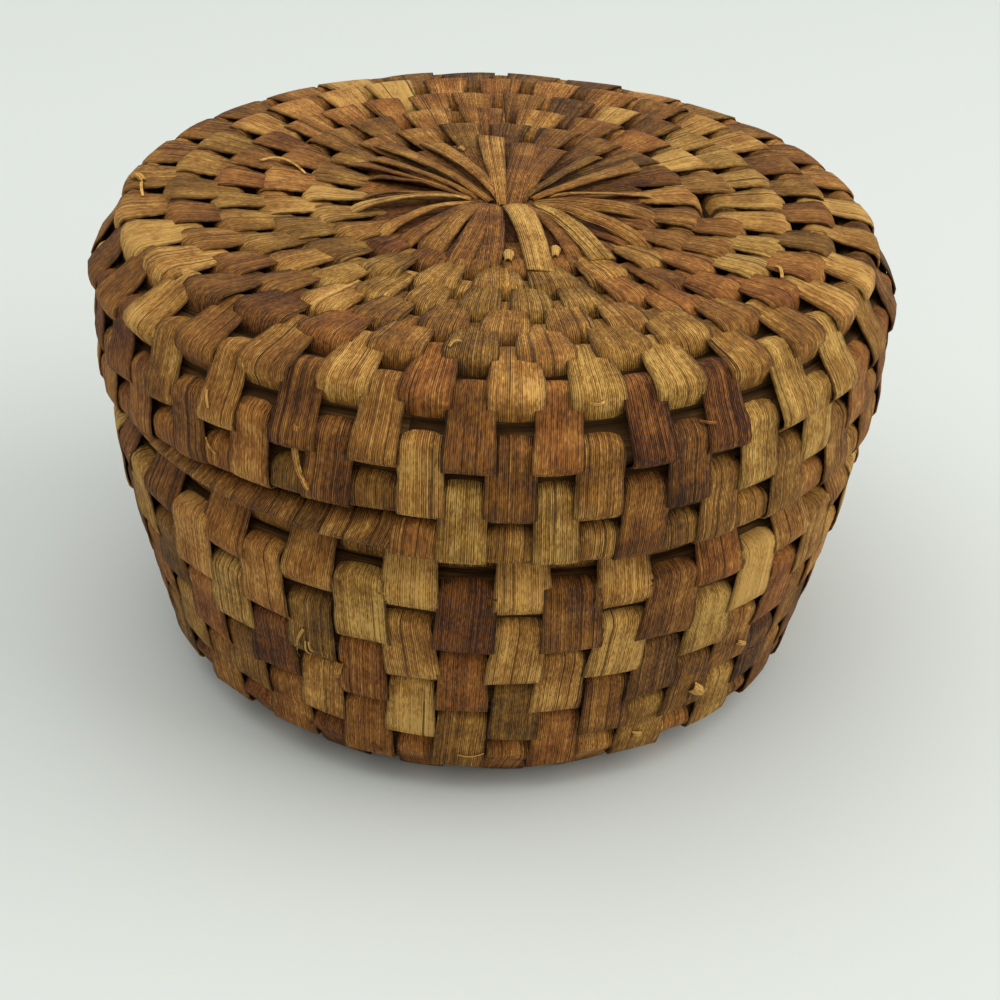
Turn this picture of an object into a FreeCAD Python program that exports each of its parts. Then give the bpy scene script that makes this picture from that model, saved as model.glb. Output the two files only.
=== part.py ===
"""Lidded round basket of coiled cane, each turn bound to its neighbour by leaf strips.

Millimetres, +Z up, origin on the floor under the middle of the base.
Angles are seen from above, and the front of the basket faces -Y.
"""
import FreeCAD, Part
import math
import os

from FreeCAD import Vector

doc = FreeCAD.newDocument("woven_box")
sheet = doc.addObject("Spreadsheet::Sheet", "Sizes")

# Driving dimensions: alias, value, what it is
SIZES = [
    ("lid_radius", 75.5, "outside of the lid's side"),
    ("lid_height", 32.7, "outside of the lid, from its rim to its top"),
    ("lid_overhang", 1.5, "reach of the lid past the base's rim row"),
    ("rim_height", 49.7, "floor to the middle of the base's rim row"),
    ("wall_lean", 12.5, "degrees that the base wall leans outwards"),
    ("collar_lean", 31.0, "degrees that the collar leans inwards"),
    ("seat_gap", 0.4, "between the lid's rim and the collar that it rests on"),
    ("shoulder_bend", 9.5, "radius of the lid's shoulder at the middle of the coil"),
    ("foot_bend", 10.0, "radius of the base's lower edge at the middle of the coil"),
    ("rim_bend", 8.0, "radius of the base's rim at the middle of the coil"),
    ("lid_row_gap", 1.0, "between the strips of one row of the lid and the next"),
    ("base_row_gap", 0.65, "between the strips of one row of the base and the next"),
    ("collar_rows", 2, "rows of the base above its rim row"),
    ("cane_radius", 3.05, "bundle of cane that is coiled"),
    ("wrap_clearance", 0.2, "between the cane and a strip round it"),
    ("leaf_thickness", 0.4, "leaf strip"),
    ("strip_gap", 0.55, "between two strips side by side"),
    ("star_hole", 2.2, "radius left open in the middle of a star"),
    ("star_turns", 3.6, "turns of cane that a star holds together"),
    ("star_slack", 0.05, "spare length at the outer end of a star's strips"),
    ("lid_star_count", 22, "strips of the lid's star"),
    ("floor_star_count", 18, "strips of the floor's star"),
    ("lid_inner_turns", 5.6, "turn at which the lid's strips become more"),
    ("lid_inner_count", 22.5, "strips to a turn round the lid's star"),
    ("lid_outer_count", 31.5, "strips to a turn on the rest of the lid"),
    ("base_count", 24.5, "strips to a turn of the base"),
    ("lid_step_angle", -145, "middle of the quarter in which the lid's rows change level"),
    ("base_step_angle", 80, "middle of the quarter in which the base's rows change level"),
    ("levelling_turns", 10, "turns over which a coil goes from even to stepped"),
    ("tail_angle", 48, "degrees over which the lid's cane tapers out"),
    ("tail_radius", 1.0, "thin end of that taper"),
    ("wall_lengths", 7, "lengths of cane in the base's wall"),
    ("collar_lengths", 2, "lengths of cane in the collar"),
    ("lid_side_lengths", 5, "lengths of cane in the lid's side"),
]
for line, (alias, value, note) in enumerate(SIZES, start=1):
    sheet.set("A%d" % line, alias)
    sheet.set("B%d" % line, str(value))
    sheet.set("C%d" % line, note)
    sheet.setAlias("B%d" % line, alias)
doc.recompute()


def size(alias):
    return float(sheet.get(alias))


cane_radius = size("cane_radius")
loop_inside = cane_radius + size("wrap_clearance")
loop_outside = loop_inside + size("leaf_thickness")
lid_pitch = 2 * loop_outside + size("lid_row_gap")
base_pitch = 2 * loop_outside + size("base_row_gap")
UP = Vector(0, 0, 1)
TURN = 2 * math.pi
QUARTERS = 4


class Profile:
    """A path in the r-z plane, read by the length along it: straights joined by arcs.

    Corners are (r, z, bend radius), and the two ends have no bend.
    """

    def __init__(self, corners):
        self.spans = []
        self.length = 0.0
        here = Vector(corners[0][0], 0, corners[0][1])
        for before, corner, after in zip(corners, corners[1:], corners[2:]):
            at = Vector(corner[0], 0, corner[1])
            way_in = (at - Vector(before[0], 0, before[1])).normalize()
            way_out = (Vector(after[0], 0, after[1]) - at).normalize()
            turn = way_in.getAngle(way_out)
            cut = corner[2] * math.tan(turn / 2)
            self.add_straight(here, at - way_in * cut)
            self.add_bend(at - way_in * cut, way_in, way_out, corner[2], turn)
            here = at + way_out * cut
        self.add_straight(here, Vector(corners[-1][0], 0, corners[-1][1]))

    def add_straight(self, start, end):
        way = (end - start).normalize()
        self.spans.append((self.length, lambda along: (start + way * along, way)))
        self.length += start.distanceToPoint(end)

    def add_bend(self, start, way_in, way_out, radius, turn):
        side = (way_out - way_in * way_in.dot(way_out)).normalize()

        def at(along):
            angle = along / radius
            place = start + way_in * (radius * math.sin(angle)) + side * (radius * (1 - math.cos(angle)))
            return place, way_in * math.cos(angle) + side * math.sin(angle)

        self.spans.append((self.length, at))
        self.length += radius * turn

    def at(self, along):
        """Place and direction at a length along the path."""
        start, span = [item for item in self.spans if item[0] <= max(along, 0)][-1]
        return span(along - start)


class Coil:
    """One cane wound on a profile, clockwise seen from above.

    Turns are counted from the middle, and a quarter of each turn is centred on a whole number. The
    first turns are an even spiral. The last ones are level, and step to the next row in that quarter.
    """

    def __init__(self, profile, pitch, step_angle):
        self.profile = profile
        self.pitch = pitch
        self.step_angle = math.radians(step_angle)
        last_step = int(profile.length / pitch)
        self.shift = profile.length - pitch * (last_step + 0.5)
        self.levelled_turn = last_step - 2
        self.last_quarter = last_step * QUARTERS + QUARTERS - 1
        self.first_quarter = 1
        while self.along(self.first_quarter) < size("star_hole") + loop_outside:
            self.first_quarter += 1
        self.arcs = {}
        for quarter in range(self.first_quarter, self.last_quarter):
            self.arcs[quarter] = biarc(*self.node(quarter), *self.node(quarter + 1))

    def turns(self, quarter):
        """Turn count at the end of a quarter; the steps lie half a quarter each side of whole turns."""
        return (quarter + 0.5) / QUARTERS

    def stepped(self, quarter):
        share = (self.turns(quarter) - self.levelled_turn) / size("levelling_turns") + 1
        return min(max(share, 0), 1)

    def along(self, quarter):
        """Length along the profile at the end of a quarter."""
        even = self.turns(quarter)
        level = quarter // QUARTERS + 0.5
        share = self.stepped(quarter)
        return self.pitch * ((1 - share) * even + share * level) + self.shift

    def node(self, quarter):
        """Place and direction of the cane's middle at the end of a quarter."""
        place, way = self.profile.at(self.along(quarter))
        angle = self.angle(self.turns(quarter))
        outward = Vector(math.cos(angle), math.sin(angle), 0)
        forward = Vector(math.sin(angle), -math.cos(angle), 0)
        climb = self.pitch * (1 - self.stepped(quarter)) / TURN
        direction = forward * place.x + (outward * way.x + UP * way.z) * climb
        return outward * place.x + UP * place.z, direction.normalize()

    def angle(self, turns):
        return self.step_angle - TURN * turns

    @property
    def first_turn(self):
        return self.turns(self.first_quarter)

    @property
    def last_turn(self):
        return self.turns(self.last_quarter)

    def at(self, turns):
        """The cane's middle where it crosses the half plane of a turn count."""
        quarter = min(max(int(turns * QUARTERS - 0.5), self.first_quarter), self.last_quarter - 1)
        angle = self.angle(turns)
        forward = Vector(math.sin(angle), -math.cos(angle), 0)
        first, second = self.arcs[quarter]
        edge = first if end_point(first).dot(forward) > 0 else second
        low, high = edge.ParameterRange
        for _ in range(40):
            middle = (low + high) / 2
            if edge.valueAt(middle).dot(forward) < 0:
                low = middle
            else:
                high = middle
        return edge.valueAt(low)

    def tube(self, first, last):
        """The cane from one quarter to another."""
        edges = [arc for quarter in range(first, last) for arc in self.arcs[quarter]]
        place, direction = self.node(first)
        section = Part.Wire(Part.makeCircle(cane_radius, place, direction))
        return Part.Wire(edges).makePipeShell([section], True, False)

    def least_gap(self):
        """Least gap between one turn of cane and the next, measured on points."""
        steps = 24
        first = int(self.first_turn * steps) + 1
        last = int((self.last_turn - 1) * steps)
        gaps = []
        for step in range(first, last):
            here = self.at(step / steps)
            near = [self.at((step + steps + shift / 2) / steps) for shift in (-2, -1, 0, 1, 2)]
            gaps.append(min(here.distanceToPoint(other) for other in near) - 2 * cane_radius)
        return min(gaps)


def end_point(edge):
    return edge.valueAt(edge.ParameterRange[1])


def biarc(start, way_in, end, way_out):
    """Two arcs that leave start along way_in and reach end along way_out."""
    across = end - start
    both = way_in + way_out
    spread = 2 * (1 - way_in.dot(way_out))
    reach = (math.sqrt(across.dot(both) ** 2 + spread * across.dot(across)) - across.dot(both)) / spread
    knee_in = start + way_in * reach
    knee_out = end - way_out * reach
    middle = (knee_in + knee_out) * 0.5
    return tangent_arc(start, knee_in, middle), tangent_arc(middle, knee_out, end)


def tangent_arc(start, knee, end):
    """The arc from start to end whose tangents meet at knee."""
    chord_middle = (start + end) * 0.5
    rise = knee - chord_middle
    half_angle = math.atan2(rise.Length, start.distanceToPoint(end) / 2)
    sagitta = start.distanceToPoint(end) / 2 * math.tan(half_angle / 2)
    return Part.Arc(start, chord_middle + rise.normalize() * sagitta, end).toShape()


def ring(centres, forward, radius):
    """Closed outline at one radius round one centre or two, square to forward."""
    near, far = centres[0], centres[-1]
    if near.distanceToPoint(far) < cane_radius:
        way = near.sub(forward * near.dot(forward)).normalize()
        near = far = (near + far) * 0.5
    else:
        way = (far - near).normalize()
    side = forward.cross(way) * radius
    way = way * radius
    edges = [Part.Arc(far + side, far + way, far - side).toShape()]
    if near is not far:
        edges.append(Part.makeLine(far - side, near - side))
    edges.append(Part.Arc(near - side, near - way, near + side).toShape())
    if near is not far:
        edges.append(Part.makeLine(near + side, far + side))
    return Part.Wire(edges)


def on_plane(face):
    """The same four-sided face, on a true plane where it is flat."""
    if not face.findPlane():
        return face
    corners = [corner.Point for corner in face.OuterWire.OrderedVertexes]
    return Part.Face(Part.makePolygon(corners + corners[:1]))


def strip(sections):
    """A closed band through half planes; each section is (centres, forward)."""
    outside = [ring(*section, loop_outside) for section in sections]
    inside = [ring(*section, loop_inside) for section in sections]
    sides = Part.makeLoft(outside, False, True).Faces + Part.makeLoft(inside, False, True).Faces
    faces = [on_plane(side) for side in sides]
    for end in (0, -1):
        faces.append(Part.makeFace([outside[end], inside[end]], "Part::FaceMakerBullseye"))
    shell = Part.Shell(faces)
    shell.sewShape()
    return Part.Solid(shell)


def sections_of_strip(coil, turns, half_turn, centres_at, spans=1):
    """Sections of a strip that is half_turn wide each side of a turn count, flat between them."""
    sections = []
    for span in range(spans + 1):
        at = turns + half_turn * (2 * span / spans - 1)
        angle = coil.angle(at)
        outward = Vector(math.cos(angle), math.sin(angle), 0)
        forward = Vector(math.sin(angle), -math.cos(angle), 0)
        # Each section stands out by half of the arc's height over its chord
        ease = (1 - math.cos(TURN * half_turn / spans)) / 2
        centres = [centre + outward * (centre.dot(outward) * ease) for centre in centres_at(at, outward)]
        sections.append((centres, forward))
    return sections


def bound_strip(coil, turns, count, rows):
    """A strip that binds the row at a turn count, and the row before it when rows is 2."""
    def centres_at(at, outward):
        return [coil.at(at - back) for back in range(rows - 1, -1, -1)]

    radius = min(math.hypot(centre.x, centre.y) for centre in centres_at(turns, None)) - loop_outside
    half_turn = 0.25 / count - size("strip_gap") / 2 / (TURN * radius)
    return strip(sections_of_strip(coil, turns, half_turn, centres_at))


def star_strips(coil, count):
    """Strips that run from the middle out over the first turns of a coil."""
    def centres_at(at, outward):
        far = coil.at(at) + outward * size("star_slack")
        return [outward * (size("star_hole") + loop_outside) + UP * far.z, far]

    first = size("star_turns") - 1
    radius = coil.pitch * size("star_turns")
    half_turn = 0.5 / count - size("strip_gap") / (TURN * radius)
    middles = [first + (step + 0.5) / count for step in range(int(count))]
    return [strip(sections_of_strip(coil, middle, half_turn, centres_at, 2)) for middle in middles]


def course(coil, first, last, count):
    """Strips of one count from a turn to another, as a list of (turn count, strip).

    A strip binds two rows, and lies between the strips of the row before. Strips that bind one row
    fill the first row and the last one.
    """
    strips = []
    for step in range(int((last - first) * count - 0.5)):
        turns = first + (step + 1) / count
        depth = 1 if turns < first + 1 else 2
        strips.append((turns, bound_strip(coil, turns, count, depth)))
        if turns > last - 1 + 1 / count:
            between = turns - 0.5 / count
            strips.append((between, bound_strip(coil, between, count, 1)))
    return strips


def add_piece(label, shape):
    """One sub-part, with its own label and placement."""
    piece = doc.addObject("Part::Feature", label)
    piece.Shape = shape
    piece.Placement = FreeCAD.Placement()
    piece.Label = label
    return piece


def add_rows(coil, strips, places):
    """One sub-part for each row of strips, named by the place that it has along the coil's profile.

    Places are (length along the profile where the place ends, name).
    """
    rows = {}
    for turns, solid in strips:
        rows.setdefault(int(turns), []).append(solid)
    numbers = {}
    for row in sorted(rows):
        along = coil.pitch * (row + 0.5) + coil.shift
        name = next(place for end, place in places if along <= end)
        numbers[name] = numbers.get(name, 0) + 1
        add_piece("%s_%d" % (name, numbers[name]), Part.Compound(rows[row]))


# The base's path: floor, wall and the collar that leans in over the rim row
rim_centre = size("lid_radius") - size("lid_overhang") - loop_outside
wall_angle = math.radians(size("wall_lean"))
collar_angle = math.radians(size("collar_lean"))
collar_length = size("collar_rows") * base_pitch
foot_centre = rim_centre - (size("rim_height") - loop_outside) * math.tan(wall_angle)
base_profile = Profile([
    (0, loop_outside, 0),
    (foot_centre, loop_outside, size("foot_bend")),
    (rim_centre, size("rim_height"), size("rim_bend")),
    (
        rim_centre - collar_length * math.sin(collar_angle),
        size("rim_height") + collar_length * math.cos(collar_angle),
        0,
    ),
])

# The lid's path: top, shoulder and side, down to the rim that rests on the collar
lid_centre = size("lid_radius") - loop_outside
seat = 2 * loop_outside + size("seat_gap")
lid_rim = size("rim_height") + (seat - (lid_centre - rim_centre) * math.cos(collar_angle)) / math.sin(collar_angle)
lid_top = lid_rim + size("lid_height") - 2 * loop_outside
lid_profile = Profile([
    (0, lid_top, 0),
    (lid_centre, lid_top, size("shoulder_bend")),
    (lid_centre, lid_rim, 0),
])

base = Coil(base_profile, base_pitch, size("base_step_angle"))
lid = Coil(lid_profile, lid_pitch, size("lid_step_angle"))
print("least gap of the base's cane %.2f mm, of the lid's %.2f mm" % (base.least_gap(), lid.least_gap()))


def first_quarter_past(coil, along):
    """The first quarter of a coil that ends past a length along its profile."""
    quarter = coil.first_quarter
    while coil.along(quarter) < along:
        quarter += 1
    return quarter


def add_lengths(coil, name, first, last, count):
    """The cane from one quarter to another, as sub-parts of about equal length."""
    ends = [first + (last - first) * step // count for step in range(count + 1)]
    for number, (start, end) in enumerate(zip(ends, ends[1:]), start=1):
        add_piece("%s_%d" % (name, number), coil.tube(start, end))


# Cane: each coil in lengths, butted end to end
foot_quarter = first_quarter_past(base, foot_centre - size("foot_bend"))
seat_quarter = base.last_quarter - int(size("collar_rows")) * QUARTERS
shoulder_quarter = first_quarter_past(lid, lid_centre - size("shoulder_bend") - lid_pitch / 2)
add_piece("floor_cane", base.tube(base.first_quarter, foot_quarter))
add_lengths(base, "wall_cane", foot_quarter, seat_quarter, int(size("wall_lengths")))
add_lengths(base, "collar_cane", seat_quarter, base.last_quarter, int(size("collar_lengths")))
add_piece("lid_top_cane", lid.tube(lid.first_quarter, shoulder_quarter))
add_lengths(lid, "lid_side_cane", shoulder_quarter, lid.last_quarter, int(size("lid_side_lengths")))


def tail(coil):
    """The tapered end of the cane, whose lower side stays level under the row that steps down."""
    start, direction = coil.node(coil.last_quarter)
    sections = []
    steps = 4
    for step in range(steps + 1):
        share = step / steps
        radius = cane_radius + (size("tail_radius") - cane_radius) * share
        angle = coil.angle(coil.last_turn) - math.radians(size("tail_angle")) * share
        reach = math.hypot(start.x, start.y)
        centre = Vector(reach * math.cos(angle), reach * math.sin(angle), start.z - cane_radius + radius)
        forward = Vector(math.sin(angle), -math.cos(angle), 0)
        sections.append(Part.Wire(Part.makeCircle(radius, centre, forward)))
    return Part.makeLoft(sections, True, False)


add_piece("lid_cane_tail", tail(lid))

# Leaf strips
add_piece("floor_star", Part.Compound(star_strips(base, size("floor_star_count"))))
add_piece("lid_star", Part.Compound(star_strips(lid, size("lid_star_count"))))
star_end = size("star_turns")
inner_end = size("lid_inner_turns")
rim_along = base_profile.length - collar_length
half_row = base_pitch / 2
add_rows(base, course(base, star_end, base.last_turn, size("base_count")), [
    (foot_centre - size("foot_bend"), "floor_strips"),
    (rim_along - half_row, "wall_strips"),
    (rim_along + half_row, "rim_strips"),
    (math.inf, "collar_strips"),
])
lid_strips = course(lid, star_end, inner_end, size("lid_inner_count"))
lid_strips += course(lid, inner_end, lid.last_turn, size("lid_outer_count"))
add_rows(lid, lid_strips, [
    (lid_centre - size("shoulder_bend"), "lid_top_strips"),
    (math.inf, "lid_side_strips"),
])

doc.recompute()
pieces = [item for item in doc.Objects if item is not sheet]
for item in doc.Objects:
    if "Invalid" in item.State or "Error" in item.State:
        raise RuntimeError("%s is %s" % (item.Label, item.State))
for piece in pieces:
    if piece.Shape.isNull() or not piece.Shape.isValid():
        raise RuntimeError("%s has no valid shape" % piece.Label)

os.makedirs("parts", exist_ok=True)
for piece in pieces:
    piece.Shape.exportStep("parts/%s.step" % piece.Label)
    print("%-18s %3d solids %10.1f mm3" % (piece.Label, len(piece.Shape.Solids), piece.Shape.Volume))
box = Part.Compound([piece.Shape for piece in pieces]).BoundBox
print("box %.2f %.2f %.2f to %.2f %.2f %.2f" % (box.XMin, box.YMin, box.ZMin, box.XMax, box.YMax, box.ZMax))
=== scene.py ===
"""Looks of the woven storage box: leaf strips bound over coiled cane, on a pale floor.

Sizes are in millimetres, and a point becomes metres where it is put on a mesh. +Z is up, and the
front of the box faces -Y. The coils are those of the frame, so each strip lies on its own cane.
"""
import math
import random

import bmesh
import bpy
from mathutils import Matrix, Vector, noise


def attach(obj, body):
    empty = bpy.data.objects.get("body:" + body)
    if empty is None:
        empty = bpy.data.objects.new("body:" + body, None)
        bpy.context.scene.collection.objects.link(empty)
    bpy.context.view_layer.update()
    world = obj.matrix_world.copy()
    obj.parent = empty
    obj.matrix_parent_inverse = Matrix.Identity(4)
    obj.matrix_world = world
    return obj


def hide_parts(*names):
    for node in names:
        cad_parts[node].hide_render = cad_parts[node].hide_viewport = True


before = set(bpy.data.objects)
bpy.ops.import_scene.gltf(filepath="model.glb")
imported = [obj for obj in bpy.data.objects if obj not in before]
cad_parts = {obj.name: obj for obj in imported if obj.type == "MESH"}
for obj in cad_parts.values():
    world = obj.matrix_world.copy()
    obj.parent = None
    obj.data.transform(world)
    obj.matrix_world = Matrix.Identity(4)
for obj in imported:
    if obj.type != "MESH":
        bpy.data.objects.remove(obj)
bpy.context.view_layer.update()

MM = 0.001
TURN = 2 * math.pi
QUARTERS = 4
MERGE_DISTANCE = 1e-6

# The box, as it is wound
LID_RADIUS = 75.5
LID_HEIGHT = 32.7
LID_OVERHANG = 1.5
RIM_HEIGHT = 49.7
WALL_LEAN = math.radians(12.5)
COLLAR_LEAN = math.radians(31)
SEAT_GAP = 0.4
SHOULDER_BEND = 9.5
FOOT_BEND = 10.0
RIM_BEND = 8.0
COLLAR_ROWS = 2
CANE_RADIUS = 3.05
LOOP_RADIUS = 3.65
LID_ROW_GAP = 1.0
BASE_ROW_GAP = 0.65
LID_PITCH = 2 * LOOP_RADIUS + LID_ROW_GAP
BASE_PITCH = 2 * LOOP_RADIUS + BASE_ROW_GAP
STAR_HOLE = 2.2
STAR_TURNS = 3.6
LID_INNER_TURNS = 5.6
LID_INNER_COUNT = 22.5
LID_OUTER_COUNT = 31.5
BASE_COUNT = 24.5
LID_STEP_ANGLE = math.radians(-145)
BASE_STEP_ANGLE = math.radians(80)
STEP_TURNS = 0.25
LEVELLING_TURNS = 10
LEVEL_ROWS = 2
TAIL_ANGLE = math.radians(48)
TAIL_RADIUS = 1.0
WALL_LENGTHS = 7
COLLAR_LENGTHS = 2
LID_SIDE_LENGTHS = 5

# Leaf strips: faces across and around, half of a strip's room as a share of its step, and the
# share of its places that lies round each end row, of which a strip round one row takes more
LEAF_THICKNESS = 0.32
ACROSS = 4
AROUND = 24
CROWDING = 0.45
HIDDEN_WIDTH = 1.12
HALF_ROOM = 0.25
CAP_SHARE = 0.25
SINGLE_REACH = 1.6
JOIN_LIFT = -0.3
TAIL_WRAPS = 13
TAIL_WRAP_GAP = 0.45

# How unevenly the strips lie: spreads and ranges of the random draws
LEAN_SPREAD = 0.18
SLIP_SPREAD = 0.09
RAISE_RANGE = (-0.04, 0.08)
WIDTH_RANGE = (0.94, 1.07)
CURL_SPREAD = 0.12
CURL_LEAST = -0.03

# Uneven edges and faces: how many waves a strip has, and their size
STRIP_EDGE_WAVE = (5, 0.025)
STRIP_FACE_WAVE = (3, 0.12)
STAR_EDGE_WAVE = (6, 0.05)
STAR_FACE_WAVE = (5, 0.15)
RIBBON_EDGE_WAVE = (5, 0.06)
RIBBON_FACE_WAVE = (4, 0.3)
WAVE_SEEDS = (7.3, 3.1)
FACE_SEED = 1.7

# Stars: how many strips, their near and far width, and their tone
FLOOR_STAR = (18, 2.2, 9.0, 0.45)
LID_STAR = (22, 1.8, 7.6, 0.30)
STAR_INSET = 0.8
STAR_TAPER = 0.8

# Ribbons of the lid's star: lifts, the arch at both ends, and how a tucked end narrows and dips
RIBBON_SEEDS = (3.7, 1.3)
RIBBON_LIFT = 0.35
RIBBON_STACK = 0.05
RIBBON_BOW = 0.6
RIBBON_TAPER = 0.7
RIBBON_ARCH = (0.5, 0.12)
RIBBON_BULGE = 0.55
RIBBON_SKEW = 0.7
SKEW_POWER = 16
ROLL_TAPER = 0.8
HUB_DEPTH = 1.1
HUB_POWER = 6
NARROW_FROM = 0.88
NARROW_BY = 0.3
TUCK_FROM = 0.8
TUCK_DEPTH = 1.5

# Loose fibres
LOOSE_SEEDS = (2.9, 0.7)
LOOSE_LIFT = 0.5
LOOSE_REST = 0.3
LOOSE_CROWN = 0.3
LOOSE_TAPER = 0.5
LOOSE_TAPER_POWER = 4

# Cane: faces round it and along a turn, its strands, and the ridges that meet the next rows
CANE_SIDES = 20
CANE_STEPS = 96
CANE_STEPS_LEAST = 4
STRANDS = 7
STRAND_DEPTH = 0.16
STRAND_TWIST = 9
FILLING = 0.45
RIDGE_POWER = 9

# The photo's frame, and the eye that it was taken from, in millimetres and radians
PHOTO_SIZE = 1000
EYE_DISTANCE = 401.1
EYE_ELEVATION = 0.5216
EYE_AIM_HEIGHT = 45.74
EYE_ASIDE = 0.0079
EYE_DOWN = -0.0461
EYE_ROLL = 0.0475
LENS = 72
SENSOR = 36
NEAREST_SEEN = 10

# Tone and warmth of the leaf, from 0 to 1
CREAM = (0.98, 0.35)
PALE = (0.84, 0.30)
GOLD = (0.74, 0.45)
GREEN_GOLD = (0.72, 0.05)
HONEY = (0.64, 0.50)
TAN = (0.54, 0.40)
OLIVE = (0.42, 0.00)
BROWN = (0.40, 0.55)
RUST = (0.48, 0.92)
DUSKY = (0.24, 0.85)
DARK = (0.24, 0.50)

# Draws of tone and warmth, for one leaf after another and for the strips that are cut from it
TONE_MIDDLE = 0.52
TONE_RANGE = (0.3, 0.9)
WARMTH_MIDDLE = 0.45
WARMTH_SPREAD = 0.25
STRIPS_OF_A_LEAF = (1, 5)
STRIP_TONE_SPREAD = 0.06
STRIP_TONE_LEAST = 0.05
STRIP_WARMTH_SPREAD = 0.10
SEED_RANGE = 100
BASE_TONE_CHANGE = 0.20
LID_INNER_TONE_CHANGE = 0.09
LID_OUTER_TONE_CHANGE = 0.10
TAIL_TONE = 0.46
TAIL_TONE_SPREAD = 0.05
TAIL_DRAWS = 5

# Patterns of the leaf: how fast each goes across it, along it and from strip to strip, and its
# detail and roughness
FIBRES = (4.4, 0.012, 3.1, 1.0, 0.6)
STREAKS = (0.7, 0.010, 1.7, 2.0, 0.5)
BLOTCHES = (0.16, 0.16, 2.3, 3.0, 0.6)
CRACKS = (1.7, 0.015, 5.9, 1.0, 0.6)
SPECKS = (3.2, 1.0, 4.3, 2.0, 0.5)
VEIN_RATE = 19.0
VEIN_DRIFT = 9.0

# What the patterns do to the leaf's shade, its height and its roughness
BLOTCH_SHADE = 0.95
STREAK_SHADE = 0.30
FIBRE_SHADE = 0.80
SPECK_SHADE = 0.90
VEIN_SHADE = 0.12
LEAF_LIGHTER = 0.07
CRACK_LEVELS = (0.65, 0.70)
# The edge levels and share darken each strip near its edges: partly the leaf's own darker cut edge,
# partly painted shade of the gaps between strips
EDGE_AND_GAP_SHADE_LEVELS = (0.88, 1.0)
CRACK_SHARE = 0.7
EDGE_AND_GAP_SHADE_SHARE = 0.6
FIBRE_HEIGHT = 0.6
VEIN_HEIGHT = 0.20
CRACK_HEIGHT = 0.5
SPECK_HEIGHT = 0.5
LEAF_BUMP = (1.0, 0.45 * MM)
LEAF_ROUGHNESS = 0.9
LEAF_ROUGHNESS_CHANGE = 0.3
LEAF_SPECULAR = 0.2

# Patterns of the cane: how fast each goes across it and along it, where it starts, and its
# detail and roughness
CANE_FIBRES = (2.6, 0.07, 0.0, 3.0, 0.6)
CANE_DUST = (0.3, 0.1, 5.0, 2.0, 0.5)
CANE_FIBRE_SHADE = 0.6
CANE_DUST_SHADE = 0.5
# The cane is pushed darker still, as painted shade of the slits between the rows
CANE_SLIT_SHADE_DARKER = 0.05
CANE_BUMP = (0.6, 0.3 * MM)
CANE_ROUGHNESS = 0.95
CANE_ROUGHNESS_CHANGE = 0.2
CANE_SPECULAR = 0.1

# Colours as the eye sees them, in parts of 255; those with stops go from dark to light
COOL_LEAF = [
    (0.0, (42, 23, 7)), (0.25, (80, 52, 18)), (0.5, (121, 83, 31)), (0.75, (159, 115, 46)),
    (1.0, (210, 167, 88)),
]
WARM_LEAF = [
    (0.0, (46, 21, 8)), (0.25, (90, 48, 19)), (0.5, (135, 80, 31)), (0.75, (171, 109, 45)),
    (1.0, (216, 161, 85)),
]
# The cane's stops are far darker than its own pale colour: painted shade of the slits between the
# rows, where alone the cane shows
CANE_WITH_SLIT_SHADE = [(0.2, (26, 15, 6)), (0.5, (62, 41, 18)), (0.8, (120, 88, 46))]
CRACK_BROWN = (42, 24, 8)
# The edge brown is partly the leaf's darker cut edge, partly painted shade of the gaps between
# strips
EDGE_AND_GAP_SHADE_BROWN = (58, 36, 14)
TABLE_GREY = (205, 210, 205)

# The table and the light, in metres and watts
TABLE_REACH = 3.0
TABLE_ROUGHNESS = 0.7
TABLE_SPECULAR = 0.1
ROOM_LIGHT = 0.67
LAMP_SIZE = 1.2
LAMP_TARGET = (0, 0, 0.05)
LAMPS = [
    ("window", (1.0, -0.1, 0.8), 10.0, (1, 0.99, 0.97)),
    ("ceiling", (-0.3, -0.1, 1.2), 7.5, (1, 1, 1)),
]

# Strips whose own tone stands out in the photo, by their middle's place in its frame
LID_NOTES = {
    CREAM: [(393, 89)],
    PALE: [(345, 90), (614, 127), (665, 159), (341, 201), (142, 248), (847, 199)],
    GOLD: [(297, 209), (205, 261), (176, 285), (299, 253), (323, 240), (325, 285), (520, 114),
           (678, 127), (726, 130), (737, 213), (418, 507), (823, 317)],
    GREEN_GOLD: [(570, 388), (657, 378), (772, 387), (827, 362), (740, 449), (806, 419)],
    HONEY: [(137, 204), (246, 392), (347, 410), (533, 353), (550, 116), (664, 465)],
    TAN: [(482, 353), (471, 474), (563, 474), (292, 369), (395, 346), (378, 243), (473, 263)],
    OLIVE: [(464, 330), (775, 234)],
    BROWN: [(210, 206), (475, 410), (514, 507), (613, 516), (252, 240), (428, 253), (520, 265)],
    RUST: [(420, 403), (521, 420), (247, 172), (737, 280), (700, 262)],
    DUSKY: [(619, 425), (701, 410), (283, 162)],
    DARK: [(687, 495)],
}
BASE_NOTES = {
    CREAM: [(749, 545)],
    PALE: [(398, 722), (742, 543), (500, 680), (415, 605), (655, 580), (598, 671)],
    GOLD: [(563, 591), (490, 674), (508, 650), (415, 660), (560, 700)],
    GREEN_GOLD: [(685, 647), (690, 610), (240, 610), (360, 635)],
    HONEY: [(400, 667), (320, 704), (546, 697)],
    BROWN: [(563, 638), (652, 633), (631, 690)],
    RUST: [(704, 574), (357, 688), (435, 745), (537, 750), (444, 700)],
    DUSKY: [(453, 639), (279, 658)],
    OLIVE: [(504, 735), (330, 620)],
}

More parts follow.
